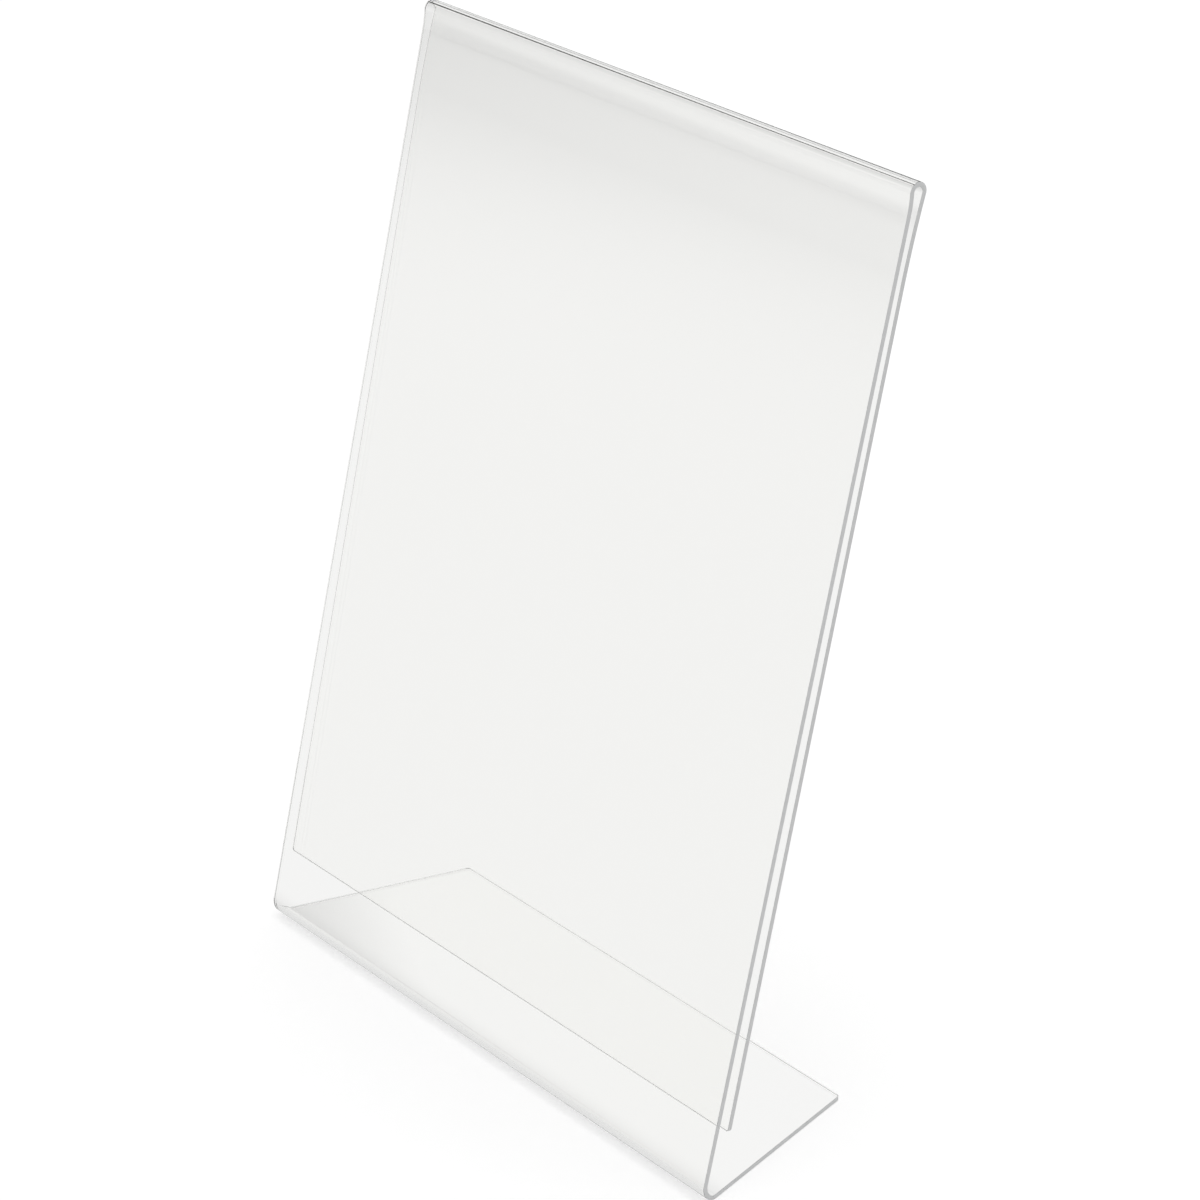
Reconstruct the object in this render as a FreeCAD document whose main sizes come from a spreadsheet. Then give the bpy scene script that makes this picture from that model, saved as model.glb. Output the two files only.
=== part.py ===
import FreeCAD, Part
import math
import os
import Sketcher

# Free-standing slanted sign holder, heat bent from one clear acrylic sheet.
# The sheet runs: foot - bend (lower and upper half) - front panel - fold (front and rear half) -
# rear flap.  Each stretch is a node of its own that meets the next one face to face, so the room
# for the card, from the bend up into the fold, stays open between them.
#
# Frame: origin in the middle of the flat underside of the foot, +X to the right of someone
# reading the card, +Y away from the reader, +Z up.

doc = FreeCAD.newDocument("slanted_sign_holder")

# Driving dimensions in millimetres and degrees.
dimensions = [
    ("sheetWidth", 215.0, "width of the sheet, side to side"),
    ("sheetGauge", 1.5, "thickness of the sheet"),
    ("footLength", 63.0, "flat part of the foot, from the bend to its rear edge"),
    ("taperAngle", 14.5, "how much each side of the foot turns inwards"),
    ("taperLead", 3.0, "how far inside the bend the taper of the foot starts"),
    ("footCorner", 1.5, "rounding of the rear corners of the foot"),
    ("bendRadius", 4.0, "inside radius of the bend between foot and panel"),
    ("leanAngle", 13.5, "lean of the front panel from the vertical"),
    ("panelLength", 286.5, "flat part of the front panel"),
    ("frontNeck", 40.0, "radius that leads the panel into the fold"),
    ("foldRadius", 1.5, "inside radius of the fold at the top"),
    ("foldBulge", 0.6, "how far the fold stands out in front of the panel"),
    ("rearNeck", 350.0, "radius that leads the fold into the flap"),
    ("slotGap", 1.6, "clear slot between panel and flap where it is narrowest"),
    ("flapSpread", 0.4, "angle by which the flap opens from the panel"),
    ("flapClearance", 16.3, "from the bend up the panel to the free edge of the flap"),
    ("flapCorner", 1.0, "rounding of the lower corners of the flap"),
]

dims = doc.addObject("Spreadsheet::Sheet", "dims")
for row, (alias, number, meaning) in enumerate(dimensions, start=1):
    dims.set(f"A{row}", alias)
    dims.set(f"B{row}", str(number))
    dims.set(f"C{row}", meaning)
    dims.setAlias(f"B{row}", alias)
doc.recompute()

# Sizes that follow from the sheet, written once as expressions and shared by the nodes.
bendOuter = "(dims.bendRadius + dims.sheetGauge)"
footFront = "(dims.sheetWidth - 2 * dims.taperLead * tan(dims.taperAngle))"
footRear = "(dims.sheetWidth - 2 * (dims.taperLead + dims.footLength) * tan(dims.taperAngle))"

# The fold is a loop: its centre lies this deep behind the panel's front face, and the two necks
# turn the sheet by these angles before it meets the loop.
foldOuter = "(dims.foldRadius + dims.sheetGauge)"
foldDepth = f"({foldOuter} - dims.foldBulge)"
frontTurn = f"acos((dims.frontNeck + {foldDepth}) / (dims.frontNeck + {foldOuter}))"
rearNeckDepth = ("(dims.sheetGauge + dims.slotGap"
                 " + (dims.rearNeck + dims.sheetGauge) * cos(dims.flapSpread))")
rearTurn = f"acos(({rearNeckDepth} - {foldDepth}) / (dims.rearNeck + {foldOuter}))"

# Places along the panel, all from the lower end of its front face: up the slope and straight back.
foldRise = f"(dims.panelLength + (dims.frontNeck + {foldOuter}) * sin({frontTurn}))"
flapRise = (f"({foldRise} - (dims.rearNeck + {foldOuter}) * sin({rearTurn})"
            " - dims.rearNeck * sin(dims.flapSpread))")
flapDepth = "(dims.slotGap + dims.sheetGauge * (1 + cos(dims.flapSpread)))"
flapLength = f"(({flapRise} - dims.flapClearance) / cos(dims.flapSpread))"


def onPanel(depth, rise):
    """Expressions for the y and z of a place on the leaning panel."""
    y = (f"-dims.footLength / 2 - {bendOuter} * cos(dims.leanAngle)"
         f" + {depth} * cos(dims.leanAngle) + {rise} * sin(dims.leanAngle)")
    z = (f"{bendOuter} * (1 + sin(dims.leanAngle))"
         f" - {depth} * sin(dims.leanAngle) + {rise} * cos(dims.leanAngle)")
    return y, z


# ---- helpers ---------------------------------------------------------------------------------

ORIGIN = -1    # Sketcher's index of the origin, and of the horizontal axis
UPRIGHT = -2   # Sketcher's index of the vertical axis
START, END, CENTRE = 1, 2, 3


def valueOf(expression):
    """Number that an expression gives now, in millimetres or degrees."""
    result = dims.evalExpression(expression)
    return getattr(result, "Value", result)


def newBody(name, y, z, lean="0"):
    """Body whose own origin is at y, z and which leans back by an angle."""
    body = doc.addObject("PartDesign::Body", name)
    body.Label = name
    backwards = FreeCAD.Vector(-1, 0, 0)
    body.Placement = FreeCAD.Placement(
        FreeCAD.Vector(0, valueOf(y), valueOf(z)), FreeCAD.Rotation(backwards, valueOf(lean)))
    body.setExpression("Placement.Base.y", y)
    body.setExpression("Placement.Base.z", z)
    if lean != "0":
        body.setExpression("Placement.Rotation.Angle", lean)
    return body


def originPlane(body, role):
    return next(plane for plane in body.Origin.OriginFeatures if plane.Role == role)


def newSketch(body, role, name):
    sketch = body.newObject("Sketcher::SketchObject", name)
    sketch.AttachmentSupport = [(originPlane(body, role), "")]
    sketch.MapMode = "FlatFace"
    return sketch


def relate(sketch, *constraints):
    for constraint in constraints:
        sketch.addConstraint(Sketcher.Constraint(*constraint))


def bind(sketch, name, expression, kind, *where):
    """Adds a dimension to a sketch and ties it to the sheet."""
    number = valueOf(expression)
    if kind == "Angle":
        number = math.radians(number)
    index = sketch.addConstraint(Sketcher.Constraint(kind, *where, number))
    sketch.renameConstraint(index, name)
    sketch.setExpression(f"Constraints.{name}", expression)


def addLine(sketch, here, there):
    line = Part.LineSegment(FreeCAD.Vector(*here, 0), FreeCAD.Vector(*there, 0))
    return sketch.addGeometry(line, False)


def addPolygon(sketch, points):
    """Closed run of straight lines; each line goes from its own point to the next one."""
    lines = [addLine(sketch, here, there) for here, there in zip(points, points[1:] + points[:1])]
    for line, after in zip(lines, lines[1:] + lines[:1]):
        relate(sketch, ("Coincident", line, END, after, START))
    return lines


def addArc(sketch, centre, radius, first, last):
    """Arc from the first angle round to the last one, in degrees."""
    circle = Part.Circle(centre, FreeCAD.Vector(0, 0, 1), radius)
    arc = Part.ArcOfCircle(circle, math.radians(first), math.radians(last))
    return sketch.addGeometry(arc, False)


def addSpoke(sketch, centre, near, far, angle):
    """Straight end across the sheet, along a radius of its bend."""
    outwards = FreeCAD.Vector(math.cos(math.radians(angle)), math.sin(math.radians(angle)), 0)
    return sketch.addGeometry(Part.LineSegment(centre + outwards * near, centre + outwards * far), False)


def pad(body, sketch, length, symmetric=False):
    feature = body.newObject("PartDesign::Pad", body.Name + "_pad")
    feature.Profile = sketch
    feature.setExpression("Length", length)
    if symmetric:
        feature.SideType = "Symmetric"
    doc.recompute()
    return feature


def roundCorners(body, base, radius, isCorner):
    """Rounds the edges straight through the sheet that isCorner picks by their middle point."""
    names = []
    for number, edge in enumerate(base.Shape.Edges, start=1):
        isThrough = abs(edge.Length - valueOf("dims.sheetGauge")) < 1e-6
        if isThrough and isCorner(edge.CenterOfMass):
            names.append(f"Edge{number}")
    feature = body.newObject("PartDesign::Fillet", body.Name + "_corners")
    feature.Base = (base, names)
    feature.setExpression("Radius", radius)
    doc.recompute()


def bentStretch(body, inside, outside, first, last):
    """Bend of the sheet about the body's own X axis, between two angles of its YZ plane."""
    profile = newSketch(body, "YZ_Plane", body.Name + "_profile")
    centre = FreeCAD.Vector()
    near, far = valueOf(inside), valueOf(outside)
    begin, finish = valueOf(first), valueOf(last)
    sweepEnd = finish if finish > begin else finish + 360
    inner = addArc(profile, centre, near, begin, sweepEnd)
    outer = addArc(profile, centre, far, begin, sweepEnd)
    firstEnd = addSpoke(profile, centre, near, far, begin)
    lastEnd = addSpoke(profile, centre, near, far, finish)
    relate(profile,
           ("Coincident", firstEnd, START, inner, START),
           ("Coincident", firstEnd, END, outer, START),
           ("Coincident", lastEnd, START, inner, END),
           ("Coincident", lastEnd, END, outer, END),
           ("Coincident", inner, CENTRE, ORIGIN, START),
           ("Coincident", outer, CENTRE, ORIGIN, START),
           ("PointOnObject", ORIGIN, START, firstEnd),
           ("PointOnObject", ORIGIN, START, lastEnd))
    bind(profile, "insideRadius", inside, "Radius", inner)
    bind(profile, "outsideRadius", outside, "Radius", outer)
    bind(profile, "firstAngle", first, "Angle", firstEnd)
    bind(profile, "lastAngle", last, "Angle", lastEnd)
    return pad(body, profile, "dims.sheetWidth", symmetric=True)


def flatStretch(body, length, neckRadius, neckTurn, neckFront):
    """Flat part of the sheet that hangs down from the body's own origin, and the neck above it.

    The origin is on the face that looks out, where the flat part ends and the neck begins.  The
    neck curves towards that face: the front if neckFront is true, otherwise the rear.
    """
    profile = newSketch(body, "YZ_Plane", body.Name + "_profile")
    gauge = valueOf("dims.sheetGauge")
    radius = valueOf(neckRadius)
    turn = valueOf(neckTurn)
    low = -valueOf(length)
    if neckFront:
        centre, inward = FreeCAD.Vector(-radius, 0, 0), gauge
        angles, flatSide, foldSide = (0, turn), START, END
        foldAngle, foldExpression = turn, neckTurn
    else:
        centre, inward = FreeCAD.Vector(radius, 0, 0), -gauge
        angles, flatSide, foldSide = (180 - turn, 180), END, START
        foldAngle, foldExpression = 180 - turn, f"180 deg - {neckTurn}"

    outFace = addLine(profile, (0, 0), (0, low))
    lowEnd = addLine(profile, (0, low), (inward, low))
    inFace = addLine(profile, (inward, low), (inward, 0))
    outNeck = addArc(profile, centre, radius, *angles)
    inNeck = addArc(profile, centre, radius + gauge, *angles)
    foldEnd = addSpoke(profile, centre, radius, radius + gauge, foldAngle)
    relate(profile,
           ("Coincident", outFace, START, ORIGIN, START),
           ("Coincident", outFace, END, lowEnd, START),
           ("Coincident", lowEnd, END, inFace, START),
           ("Vertical", outFace),
           ("Horizontal", lowEnd),
           ("Vertical", inFace),
           ("Tangent", outFace, START, outNeck, flatSide),
           ("Tangent", inFace, END, inNeck, flatSide),
           ("Coincident", inNeck, CENTRE, outNeck, CENTRE),
           ("Coincident", foldEnd, START, outNeck, foldSide),
           ("Coincident", foldEnd, END, inNeck, foldSide),
           ("PointOnObject", outNeck, CENTRE, foldEnd))
    bind(profile, "flatLength", length, "DistanceY", outFace, END, outFace, START)
    gaugeEnds = (lowEnd, START, lowEnd, END) if neckFront else (lowEnd, END, lowEnd, START)
    bind(profile, "gauge", "dims.sheetGauge", "DistanceX", *gaugeEnds)
    bind(profile, "neckRadius", neckRadius, "Radius", outNeck)
    bind(profile, "foldAngle", foldExpression, "Angle", foldEnd)
    return pad(body, profile, "dims.sheetWidth", symmetric=True)


# ---- foot: flat plate that lies on the counter, narrower towards the back ----------------------

foot = newBody("foot", "0", "0")
outline = newSketch(foot, "XY_Plane", "foot_outline")
halfFront = valueOf(footFront) / 2
halfRear = valueOf(footRear) / 2
halfLength = valueOf("dims.footLength") / 2
front, right, rear, left = addPolygon(
    outline,
    [(-halfFront, -halfLength), (halfFront, -halfLength), (halfRear, halfLength), (-halfRear, halfLength)])
relate(outline,
       ("Symmetric", front, START, front, END, UPRIGHT),
       ("Symmetric", rear, START, rear, END, UPRIGHT))
bind(outline, "frontWidth", footFront, "DistanceX", front, START, front, END)
bind(outline, "rearWidth", footRear, "DistanceX", rear, END, rear, START)
bind(outline, "toFront", "dims.footLength / 2", "DistanceY", front, START, ORIGIN, START)
bind(outline, "toRear", "dims.footLength / 2", "DistanceY", ORIGIN, START, rear, START)
footPad = pad(foot, outline, "dims.sheetGauge")
roundCorners(foot, footPad, "dims.footCorner", lambda middle: middle.y > 0)


# ---- bend: turns the sheet up from the foot into the leaning panel, in two halves -----------------

bendMiddle = "(-135 - dims.leanAngle / 2)"
bendLower = newBody("bend_lower", "-dims.footLength / 2", bendOuter)
lowerPad = bentStretch(bendLower, "dims.bendRadius", bendOuter, bendMiddle, "-90")

# The taper of the foot runs on into the bend: a corner is cut off at each side.  The cut runs one
# gauge past both ends of that corner, so that no face of it lies in a face of the bend.
cut = newSketch(bendLower, "XY_Plane", "bend_taper")
cutSide = "(dims.sheetWidth / 2 + dims.sheetGauge * tan(dims.taperAngle))"
cutLength = "(dims.taperLead + 2 * dims.sheetGauge)"
cutDepth = f"({cutLength} * tan(dims.taperAngle))"
sideX, backY = valueOf(cutSide), valueOf("dims.sheetGauge")
slant, backEdge, sideEdge = addPolygon(
    cut, [(sideX, backY - valueOf(cutLength)), (sideX - valueOf(cutDepth), backY), (sideX, backY)])
relate(cut, ("Horizontal", backEdge), ("Vertical", sideEdge))
bind(cut, "side", cutSide, "DistanceX", ORIGIN, START, sideEdge, START)
bind(cut, "overrun", "dims.sheetGauge", "DistanceY", ORIGIN, START, sideEdge, START)
bind(cut, "depth", cutDepth, "DistanceX", backEdge, START, backEdge, END)
bind(cut, "length", cutLength, "DistanceY", sideEdge, END, sideEdge, START)
taperCut = bendLower.newObject("PartDesign::Pocket", "bend_taper_cut")
taperCut.Profile = cut
taperCut.setExpression("Length", bendOuter)
doc.recompute()
bothSides = bendLower.newObject("PartDesign::Mirrored", "bend_both_sides")
bothSides.Originals = [taperCut]
bothSides.MirrorPlane = (originPlane(bendLower, "YZ_Plane"), [""])
bendLower.Tip = bothSides
doc.recompute()

bendUpper = newBody("bend_upper", "-dims.footLength / 2", bendOuter)
bentStretch(bendUpper, "dims.bendRadius", bendOuter, "180 - dims.leanAngle", bendMiddle)


# ---- front panel: the wall that the card is read through ----------------------------------------

frontPanel = newBody("front_panel", *onPanel("0", "dims.panelLength"), "dims.leanAngle")
flatStretch(frontPanel, "dims.panelLength", "dims.frontNeck", frontTurn, neckFront=True)


# ---- fold: the sheet turns over at the top, in two halves that meet at the crown -----------------

foldCrown = "90"
foldFront = newBody("fold_front", *onPanel(foldDepth, foldRise), "dims.leanAngle")
bentStretch(foldFront, "dims.foldRadius", foldOuter, foldCrown, f"{frontTurn} - 180 deg")

foldRear = newBody("fold_rear", *onPanel(foldDepth, foldRise), "dims.leanAngle")
bentStretch(foldRear, "dims.foldRadius", foldOuter, f"-{rearTurn}", foldCrown)


# ---- rear flap: hangs from the fold and holds the card against the panel ------------------------

rearFlap = newBody("rear_flap", *onPanel(flapDepth, flapRise), "dims.leanAngle - dims.flapSpread")
flapPad = flatStretch(rearFlap, flapLength, "dims.rearNeck", f"({rearTurn} + dims.flapSpread * 1 deg)",
                      neckFront=False)
roundCorners(rearFlap, flapPad, "dims.flapCorner", lambda middle: middle.z < -valueOf(flapLength) / 2)


# ---- check and write ------------------------------------------------------------------------------

doc.recompute()
for item in doc.Objects:
    if "Invalid" in item.State or "Error" in item.State:
        raise RuntimeError(f"{item.Label} did not compute: {item.State}")

if bendLower.Shape.Volume >= lowerPad.Shape.Volume:
    raise RuntimeError("the taper cut took nothing off the bend")

nodes = [foot, bendLower, bendUpper, frontPanel, foldFront, foldRear, rearFlap]
for node in nodes:
    shape = node.Shape
    if shape.isNull() or not shape.isValid() or len(shape.Solids) != 1:
        raise RuntimeError(f"{node.Label} is not one valid solid")

os.makedirs("parts", exist_ok=True)
for node in nodes:
    node.Shape.exportStep(f"parts/{node.Label}.step")
    box = node.Shape.BoundBox
    print(f"{node.Label}: {box.XLength:.2f} x {box.YLength:.2f} x {box.ZLength:.2f} mm,"
          f" {node.Shape.Volume / 1000:.2f} cm3")
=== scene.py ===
import math
import bpy
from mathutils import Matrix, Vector


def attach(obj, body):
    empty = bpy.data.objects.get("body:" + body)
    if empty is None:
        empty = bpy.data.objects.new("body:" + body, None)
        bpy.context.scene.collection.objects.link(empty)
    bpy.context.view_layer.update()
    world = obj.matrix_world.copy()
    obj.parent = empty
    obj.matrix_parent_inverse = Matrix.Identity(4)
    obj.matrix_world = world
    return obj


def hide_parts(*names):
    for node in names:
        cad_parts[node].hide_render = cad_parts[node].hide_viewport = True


# A slanted sign holder for a counter, heat bent from one clear acrylic sheet: foot, bend,
# front panel, a tight fold along the top, and a rear flap that holds the card to the panel.

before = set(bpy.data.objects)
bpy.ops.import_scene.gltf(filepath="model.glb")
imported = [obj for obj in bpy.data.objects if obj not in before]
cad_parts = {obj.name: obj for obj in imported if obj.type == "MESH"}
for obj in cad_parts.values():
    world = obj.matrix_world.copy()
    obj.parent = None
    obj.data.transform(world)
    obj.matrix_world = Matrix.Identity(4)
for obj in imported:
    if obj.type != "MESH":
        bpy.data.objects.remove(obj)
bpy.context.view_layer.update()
mm = 0.001
print("frame loaded:", ", ".join(sorted(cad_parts)))


# ---- small helpers ----

def linearColour(hexColour):
    values = [int(hexColour[i:i + 2], 16) / 255 for i in (0, 2, 4)]
    return [v / 12.92 if v <= 0.04045 else ((v + 0.055) / 1.055) ** 2.4 for v in values] + [1.0]


def addNode(tree, kind, settings={}, inputs={}):
    # settings are the node's own properties; an input is a value, or the socket that feeds it
    node = tree.nodes.new(kind)
    for name, value in settings.items():
        setattr(node, name, value)
    for name, value in inputs.items():
        if isinstance(value, bpy.types.NodeSocket):
            tree.links.new(value, node.inputs[name])
        else:
            node.inputs[name].default_value = value
    return node


def newMaterial(name):
    material = bpy.data.materials.new(name)
    material.use_nodes = True
    material.node_tree.nodes.clear()
    return material, material.node_tree


def deselectAll():
    if bpy.context.mode != "OBJECT":
        bpy.ops.object.mode_set(mode="OBJECT")
    bpy.ops.object.select_all(action="DESELECT")


def selectPoints(obj, isWanted):
    # back in edit mode with the wanted vertices, and what lies between them, selected
    bpy.ops.mesh.select_mode(type="VERT")
    bpy.ops.mesh.select_all(action="DESELECT")
    bpy.ops.object.mode_set(mode="OBJECT")
    for point in obj.data.vertices:
        point.select = isWanted(point.co)
    bpy.ops.object.mode_set(mode="EDIT")


def applyModifier(obj, kind, settings):
    modifier = obj.modifiers.new(kind.title(), kind)
    for name, value in settings.items():
        setattr(modifier, name, value)
    bpy.ops.object.modifier_apply(modifier=modifier.name)


# ---- materials ----

# Clear extruded acrylic: water clear, glossy as it left the rollers, and only just not flat, so
# that reflections in it are a touch uneven. Its cut edges are sawn and flame polished: from
# outside they gather light and show as pale grey bands, from inside they mirror.
acrylic = {
    "tint": "fdfdfc",
    "ior": 1.49,
    "ripple": 14.0 * mm,             # length of the waves from the rollers
    "rippleHeight": 0.0006 * mm,
    "edge": "e0e1e1",
    "edgeDull": "d6d7d7",            # where the flame passed quicker
    "edgeGrain": 3.0 * mm,
    "edgeRoughness": (0.35, 0.05),   # from outside, from inside
    "edgeClear": (0.12, 1.0),
}


def makeAcrylic(look):
    material, tree = newMaterial("clear acrylic")
    place = addNode(tree, "ShaderNodeTexCoord")
    waves = addNode(tree, "ShaderNodeTexNoise", inputs={
        "Vector": place.outputs["Object"], "Scale": 1 / look["ripple"], "Detail": 1.0})
    bump = addNode(tree, "ShaderNodeBump", inputs={
        "Height": waves.outputs["Fac"], "Distance": look["rippleHeight"]})
    shader = addNode(tree, "ShaderNodeBsdfPrincipled", inputs={
        "Base Color": linearColour(look["tint"]), "Roughness": 0.0, "IOR": look["ior"],
        "Transmission Weight": 1.0, "Normal": bump.outputs["Normal"]})
    addNode(tree, "ShaderNodeOutputMaterial", inputs={"Surface": shader.outputs["BSDF"]})
    return material


def makeCutEdge(look):
    material, tree = newMaterial("flame polished acrylic edge")
    place = addNode(tree, "ShaderNodeTexCoord")
    grain = addNode(tree, "ShaderNodeTexNoise", inputs={
        "Vector": place.outputs["Object"], "Scale": 1 / look["edgeGrain"], "Detail": 2.0})
    colour = addNode(tree, "ShaderNodeMix", {"data_type": "RGBA"}, {  # 6 and 7 are its two colours
        0: grain.outputs["Fac"], 6: linearColour(look["edge"]), 7: linearColour(look["edgeDull"])})
    inside = addNode(tree, "ShaderNodeNewGeometry").outputs["Backfacing"]
    clear = addNode(tree, "ShaderNodeMapRange", inputs={
        "Value": inside, "To Min": look["edgeClear"][0], "To Max": look["edgeClear"][1]})
    rough = addNode(tree, "ShaderNodeMapRange", inputs={
        "Value": inside, "To Min": look["edgeRoughness"][0], "To Max": look["edgeRoughness"][1]})
    shader = addNode(tree, "ShaderNodeBsdfPrincipled", inputs={
        "Base Color": colour.outputs[2], "Roughness": rough.outputs["Result"], "IOR": look["ior"],
        "Transmission Weight": clear.outputs["Result"]})
    addNode(tree, "ShaderNodeOutputMaterial", inputs={"Surface": shader.outputs["BSDF"]})
    return material


# ---- clear sheet ----

sheet = {
    "width": 215.0 * mm,
    "gauge": 1.5 * mm,
    "footLength": 63.0 * mm,
    "taper": math.radians(14.5),      # each side of the foot turns in by this
    "taperLead": 3.0 * mm,            # the taper starts this far inside the bend
    "footCorner": 1.5 * mm,
    "bendRadius": 4.0 * mm,           # inside radii
    "lean": math.radians(13.5),
    "panelLength": 286.5 * mm,
    "frontNeck": 40.0 * mm,
    "foldRadius": 1.5 * mm,
    "foldBulge": 0.6 * mm,
    "rearNeck": 350.0 * mm,
    "slotGap": 1.6 * mm,
    "flapSpread": math.radians(0.4),
    "flapClearance": 16.3 * mm,
    "flapCorner": 1.0 * mm,
    "polish": 0.15 * mm,              # polishing rounds the cut edges very slightly
    "polishSteps": 2,
    "sharp": math.radians(50),        # edges sharper than this are polished
    "bendSteps": 56,
    "frontNeckSteps": 8,
    "foldSteps": 96,
    "rearNeckSteps": 12,
    "cornerSteps": 8,
}
hair = 0.01 * mm  # how far off a point may lie and still count as on a line


def drawStrip(size):
    # the outer face of the sheet, from the rear edge of the foot round to the free edge of the flap
    bendOuter = size["bendRadius"] + size["gauge"]
    foldOuter = size["foldRadius"] + size["gauge"]
    foldDepth = foldOuter - size["foldBulge"]
    frontTurn = math.acos((size["frontNeck"] + foldDepth) / (size["frontNeck"] + foldOuter))
    rearDepth = (size["gauge"] + size["slotGap"]
                 + (size["rearNeck"] + size["gauge"]) * math.cos(size["flapSpread"]))
    rearTurn = math.acos((rearDepth - foldDepth) / (size["rearNeck"] + foldOuter))
    foldRise = size["panelLength"] + (size["frontNeck"] + foldOuter) * math.sin(frontTurn)
    rearRise = foldRise - (size["rearNeck"] + foldOuter) * math.sin(rearTurn)
    flapRise = rearRise - size["rearNeck"] * math.sin(size["flapSpread"])
    flapLength = (flapRise - size["flapClearance"]) / math.cos(size["flapSpread"])
    flapLean = size["lean"] - size["flapSpread"]

    upSlope = Vector((0, math.sin(size["lean"]), math.cos(size["lean"])))
    straightBack = Vector((0, math.cos(size["lean"]), -math.sin(size["lean"])))
    downFlap = Vector((0, -math.sin(flapLean), -math.cos(flapLean)))
    bendCentre = Vector((0, -size["footLength"] / 2, bendOuter))
    panelStart = bendCentre - straightBack * bendOuter

    def onPanel(depth, rise):
        return panelStart + straightBack * depth + upSlope * rise

    def spinEnd(centre, turn, steps):
        bpy.ops.mesh.spin(steps=steps, angle=turn, center=centre, axis=(1, 0, 0))

    def extrudeEnd(move):
        bpy.ops.mesh.extrude_region_move(TRANSFORM_OT_translate={"value": move})

    deselectAll()
    bpy.ops.mesh.primitive_plane_add(size=1)
    obj = bpy.context.active_object
    obj.name = obj.data.name = "clear_sheet"
    bpy.ops.object.mode_set(mode="EDIT")
    bpy.ops.transform.resize(value=(size["width"], size["footLength"], 1))
    selectPoints(obj, lambda p: p.y < 0)
    spinEnd(bendCentre, math.pi / 2 + size["lean"], size["bendSteps"])
    extrudeEnd(upSlope * size["panelLength"])
    spinEnd(onPanel(-size["frontNeck"], size["panelLength"]), -frontTurn, size["frontNeckSteps"])
    spinEnd(onPanel(foldDepth, foldRise), math.pi + frontTurn + rearTurn, size["foldSteps"])
    spinEnd(onPanel(rearDepth, rearRise), -(rearTurn + size["flapSpread"]), size["rearNeckSteps"])
    extrudeEnd(downFlap * flapLength)
    bpy.ops.mesh.select_all(action="SELECT")
    bpy.ops.mesh.remove_doubles(threshold=0.1 * hair)
    return obj


def trimStrip(obj, size):
    # the foot narrows towards the back, and the taper runs on a little into the bend
    taperStart = -size["footLength"] / 2 - size["taperLead"]
    for side in (-1, 1):
        selectPoints(obj, lambda p: p.z < size["bendRadius"] / 2)
        bpy.ops.mesh.bisect(
            plane_co=(side * size["width"] / 2, taperStart, 0),
            plane_no=(side * math.cos(size["taper"]), math.sin(size["taper"]), 0),
            clear_outer=True)

    # rounded corners: two at the back of the foot, two at the free edge of the flap
    footEnd = size["footLength"] / 2 - hair
    selectPoints(obj, lambda p: p.z < 10 * hair and p.y > footEnd)
    cornerRun = size["footCorner"] * math.tan(math.pi / 4 - size["taper"] / 2)
    bpy.ops.mesh.bevel(offset=cornerRun, affect="VERTICES", segments=size["cornerSteps"], profile=0.5)
    bpy.ops.object.mode_set(mode="OBJECT")
    aboveBend = size["bendRadius"] * 3
    flapEnd = min(p.co.z for p in obj.data.vertices if p.co.z > aboveBend)
    bpy.ops.object.mode_set(mode="EDIT")
    selectPoints(obj, lambda p: abs(p.z - flapEnd) < hair)
    bpy.ops.mesh.bevel(
        offset=size["flapCorner"], affect="VERTICES", segments=size["cornerSteps"], profile=0.5)


def thickenStrip(obj, size):
    bpy.ops.mesh.select_all(action="SELECT")
    bpy.ops.mesh.normals_make_consistent(inside=False)
    bpy.ops.object.mode_set(mode="OBJECT")
    footFace = min(obj.data.polygons, key=lambda f: f.center.z)
    if footFace.normal.z > 0:  # the drawn face is the outer one, so under the foot it looks down
        bpy.ops.object.mode_set(mode="EDIT")
        bpy.ops.mesh.flip_normals()
        bpy.ops.object.mode_set(mode="OBJECT")
    obj.data.materials.append(makeAcrylic(acrylic))
    obj.data.materials.append(makeCutEdge(acrylic))
    applyModifier(obj, "SOLIDIFY", {
        "thickness": size["gauge"], "offset": -1, "use_even_offset": True,
        "use_quality_normals": True, "material_offset_rim": 1})
    applyModifier(obj, "BEVEL", {
        "width": size["polish"], "segments": size["polishSteps"],
        "limit_method": "ANGLE", "angle_limit": size["sharp"]})
    bpy.ops.object.shade_smooth()
    applyModifier(obj, "WEIGHTED_NORMAL", {"weight": 100})  # flat faces stay optically flat


clearSheet = drawStrip(sheet)
print("strip drawn:", len(clearSheet.data.polygons), "faces")
trimStrip(clearSheet, sheet)
thickenStrip(clearSheet, sheet)
print("clear sheet bent:", len(clearSheet.data.polygons), "faces")

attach(clearSheet, "root")
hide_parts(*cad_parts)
print("clear sheet stands for", len(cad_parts), "nodes")


# ---- white table, plain room and one soft box ----

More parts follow.
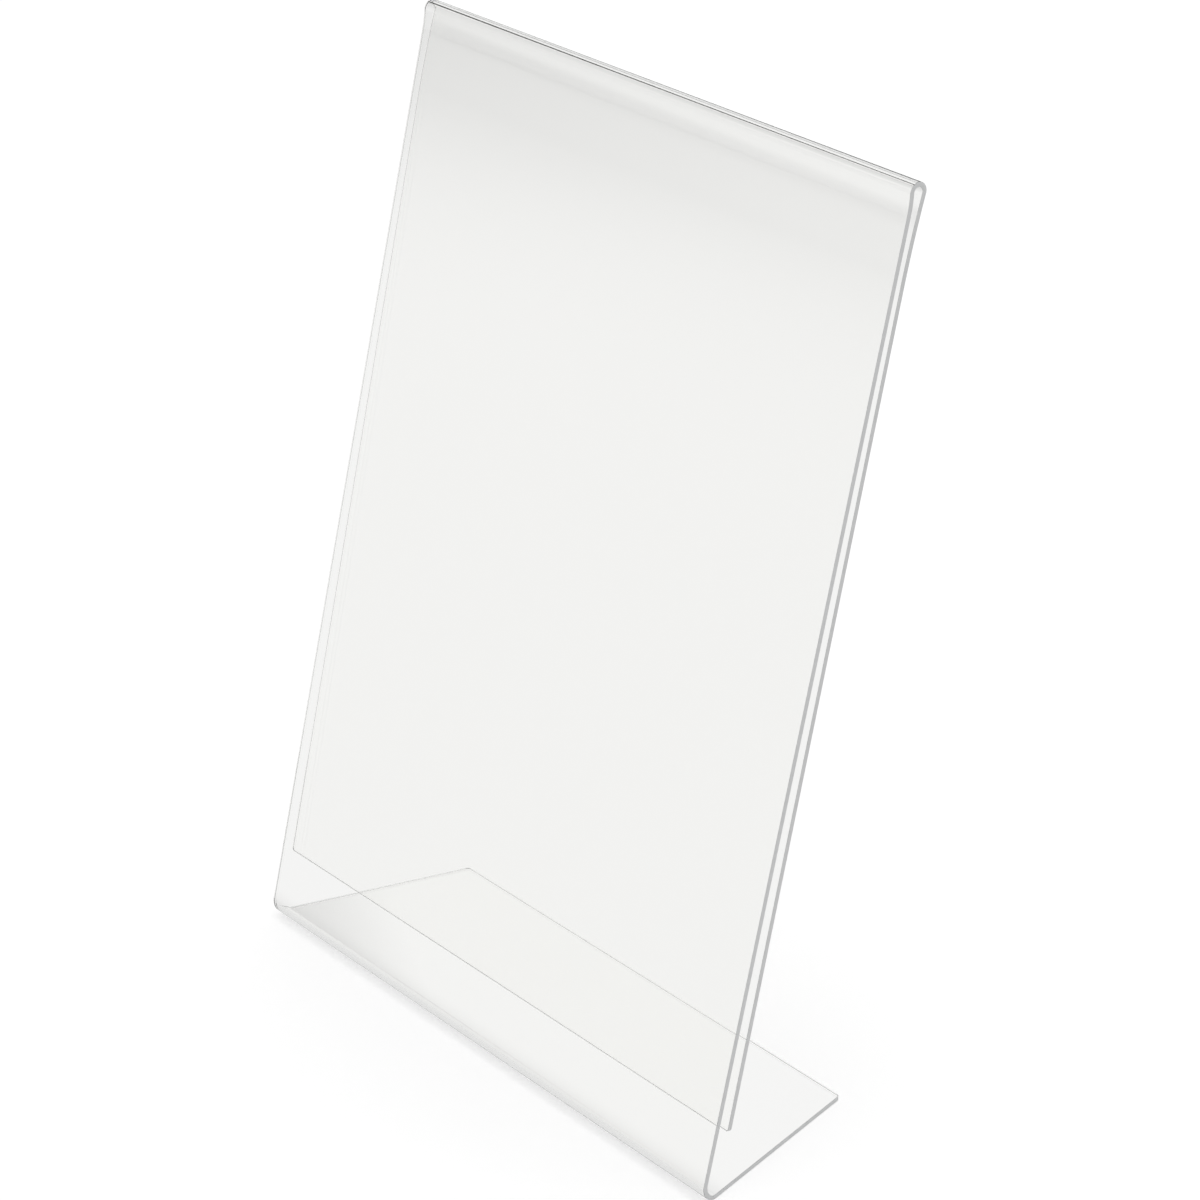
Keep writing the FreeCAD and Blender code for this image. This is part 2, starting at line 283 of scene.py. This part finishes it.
studio = {
    "tableSize": 60.0,
    "table": "e6e6e6",
    "air": 0.1 * mm,                     # film of air between foot and table
    "glow": 0.574,                       # seen straight: the part of the table's white that is its own
    "shade": 0.522,                      # and the part that the light makes, where the shadow falls
    "throughClear": 0.922,               # its white where it is seen through or in something clear
    "tableBehind": (0.0, 0.3),           # depth over which the table's far side begins
    "paintedBackFalloff": (0.6, 1.4, 0.80),        # painted falloff of light: the far side darkens from here to there, to this level
    "paintedFarFalloff": (2.0, 13.0, 0.60),        # painted falloff of light: so does the table far away all round
    "paintedContactShade": (-0.0350, 0.011, 0.84),   # painted contact shade: the table seen through the sheet is darker in a strip under the bend: middle, half width, level
    "roomBehind": (-0.1, 0.1),           # the same split for the room
    # room in front, by height: a dark gap between the table and a white wall
    "roomInFront": ((0.0, 0.6), (0.045, 0.6), (0.062, 0.0), (0.072, 0.0), (0.084, 1.0), (1.0, 1.0)),
    # room behind, by depth: a dark screen at the side, white further back
    "roomAtBack": ((0.0, 0.0), (0.49, 0.0), (0.507, 1.0), (1.0, 1.0)),
    "fill": 0.80,                        # light from all round
    "lampPower": 8.0,
    "lampSize": 1.0,
    "lampPlace": (0.2, 0.25, 2.2),
}


def lightPath(tree):
    # straight: 1 where the camera looks at this surface itself
    # throughClear: 1 where it sees it through something clear, or in a mirror
    path = addNode(tree, "ShaderNodeLightPath")
    either = addNode(tree, "ShaderNodeMath", {"operation": "MAXIMUM"}, {
        0: path.outputs["Is Glossy Ray"], 1: path.outputs["Is Transmission Ray"]})
    first = addNode(tree, "ShaderNodeMath", {"operation": "LESS_THAN"}, {
        0: path.outputs["Diffuse Depth"], 1: 0.5})
    throughClear = addNode(tree, "ShaderNodeMath", {"operation": "MULTIPLY"}, {
        0: either.outputs[0], 1: first.outputs[0]})
    return path.outputs["Is Camera Ray"], throughClear.outputs[0]


def makeTable(size):
    deselectAll()
    bpy.ops.mesh.primitive_plane_add(size=size["tableSize"], location=(0, 0, -size["air"]))
    table = bpy.context.active_object
    table.name = "table"
    material, tree = newMaterial("white table top")
    straight, throughClear = lightPath(tree)
    place = addNode(tree, "ShaderNodeTexCoord")
    away = addNode(tree, "ShaderNodeVectorMath", {"operation": "LENGTH"}, {0: place.outputs["Object"]})
    sides = addNode(tree, "ShaderNodeSeparateXYZ", inputs={0: place.outputs["Object"]})

    # how white the table is where it is seen through the clear sheet, with painted shade: darker behind the
    # holder and far away, where the light would fall off, and darker in a strip under the bend
    paintedFalloffs = []
    for start, end, level in (size["paintedBackFalloff"], size["paintedFarFalloff"]):
        fade = addNode(tree, "ShaderNodeMapRange", {"interpolation_type": "SMOOTHSTEP"}, {
            "Value": away.outputs["Value"], "From Min": start, "From Max": end,
            "To Min": 1.0, "To Max": level})
        paintedFalloffs.append(fade.outputs["Result"])
    isBehind = addNode(tree, "ShaderNodeMapRange", inputs={
        "Value": sides.outputs["Y"], "From Min": size["tableBehind"][0], "From Max": size["tableBehind"][1]})
    back = addNode(tree, "ShaderNodeMix", {"data_type": "FLOAT"}, {
        "Factor": isBehind.outputs["Result"], "A": 1.0, "B": paintedFalloffs[0]})
    paintedFalloffWhite = addNode(tree, "ShaderNodeMath", {"operation": "MULTIPLY"}, {
        0: back.outputs["Result"], 1: paintedFalloffs[1]})
    # painted contact shade: where the table is seen through the sheet, its white is darkened in a strip
    # under the bend, by place on the table, in place of the shadow there
    middle, halfWidth, paintedShadeLevel = size["paintedContactShade"]
    offMiddle = addNode(tree, "ShaderNodeMath", {"operation": "SUBTRACT"}, {
        0: sides.outputs["Y"], 1: middle})
    fromBend = addNode(tree, "ShaderNodeMath", {"operation": "ABSOLUTE"}, {0: offMiddle.outputs[0]})
    paintedContactShade = addNode(tree, "ShaderNodeMapRange", {"interpolation_type": "SMOOTHSTEP"}, {
        "Value": fromBend.outputs[0], "From Min": 0.0, "From Max": halfWidth,
        "To Min": paintedShadeLevel * size["throughClear"], "To Max": size["throughClear"]})
    whiteWithPaintedShade = addNode(tree, "ShaderNodeMath", {"operation": "MULTIPLY"}, {
        0: paintedFalloffWhite.outputs[0], 1: paintedContactShade.outputs["Result"]})

    plain = addNode(tree, "ShaderNodeBsdfDiffuse", inputs={"Color": linearColour(size["table"])})
    shaded = addNode(tree, "ShaderNodeBsdfDiffuse", inputs={"Color": [size["shade"]] * 3 + [1.0]})
    white = addNode(tree, "ShaderNodeEmission", inputs={"Strength": size["glow"]})
    lit = addNode(tree, "ShaderNodeAddShader", inputs={0: shaded.outputs[0], 1: white.outputs[0]})
    beyond = addNode(tree, "ShaderNodeEmission", inputs={"Strength": whiteWithPaintedShade.outputs[0]})
    direct = addNode(tree, "ShaderNodeMixShader", inputs={
        0: straight, 1: plain.outputs[0], 2: lit.outputs[0]})
    mix = addNode(tree, "ShaderNodeMixShader", inputs={
        0: throughClear, 1: direct.outputs[0], 2: beyond.outputs[0]})
    addNode(tree, "ShaderNodeOutputMaterial", inputs={"Surface": mix.outputs[0]})
    table.data.materials.append(material)


def makeWorld(size):
    world = bpy.data.worlds.new("studio")
    bpy.context.scene.world = world
    world.use_nodes = True
    tree = world.node_tree
    tree.nodes.clear()
    straight, throughClear = lightPath(tree)
    way = addNode(tree, "ShaderNodeTexCoord")
    axes = addNode(tree, "ShaderNodeSeparateXYZ", inputs={0: way.outputs["Generated"]})
    isBehind = addNode(tree, "ShaderNodeMapRange", inputs={
        "Value": axes.outputs["Y"], "From Min": size["roomBehind"][0], "From Max": size["roomBehind"][1]})

    levels = []
    for axis, stops in (("Z", size["roomInFront"]), ("Y", size["roomAtBack"])):
        ramp = addNode(tree, "ShaderNodeValToRGB", inputs={0: axes.outputs[axis]})
        elements = ramp.color_ramp.elements
        elements.remove(elements[1])
        elements[0].color = (stops[0][1],) * 3 + (1,)  # the first one already stands at 0
        for position, level in stops[1:]:
            elements.new(position).color = (level,) * 3 + (1,)
        levels.append(ramp.outputs["Color"])
    room = addNode(tree, "ShaderNodeMix", {"data_type": "FLOAT"}, {
        "Factor": isBehind.outputs["Result"], "A": levels[0], "B": levels[1]})
    around = addNode(tree, "ShaderNodeMix", {"data_type": "FLOAT"}, {
        "Factor": straight, "A": size["fill"], "B": 1.0})  # white background
    strength = addNode(tree, "ShaderNodeMix", {"data_type": "FLOAT"}, {
        "Factor": throughClear, "A": around.outputs["Result"], "B": room.outputs["Result"]})
    light = addNode(tree, "ShaderNodeBackground", inputs={
        "Color": (1, 1, 1, 1), "Strength": strength.outputs["Result"]})
    addNode(tree, "ShaderNodeOutputWorld", inputs={"Surface": light.outputs[0]})


def makeLamp(size):
    deselectAll()
    bpy.ops.object.light_add(type="AREA", location=size["lampPlace"])
    lamp = bpy.context.active_object
    lamp.name = "soft box"
    lamp.data.shape = "SQUARE"
    lamp.data.size = size["lampSize"]
    lamp.data.energy = size["lampPower"]
    lamp.rotation_euler = (-Vector(size["lampPlace"])).to_track_quat("-Z", "Y").to_euler()


makeTable(studio)
makeWorld(studio)
makeLamp(studio)
print("table, room and soft box ready")


# ---- camera ----

view = {
    "place": (0.8244, -0.6608, 0.6451),
    "heading": math.radians(50.767),   # to the left of straight back
    "down": math.radians(25.449),
    "lens": 118.38,
    "sensor": 36,
    "clip": (0.01, 50),
}


def makeCamera(size):
    deselectAll()
    bpy.ops.object.camera_add(
        location=size["place"], rotation=(math.pi / 2 - size["down"], 0, size["heading"]))
    camera = bpy.context.active_object
    camera.data.sensor_width = size["sensor"]
    camera.data.lens = size["lens"]
    camera.data.clip_start, camera.data.clip_end = size["clip"]
    bpy.context.scene.camera = camera


makeCamera(view)
bpy.context.scene.view_settings.view_transform = "Standard"
print("camera ready")
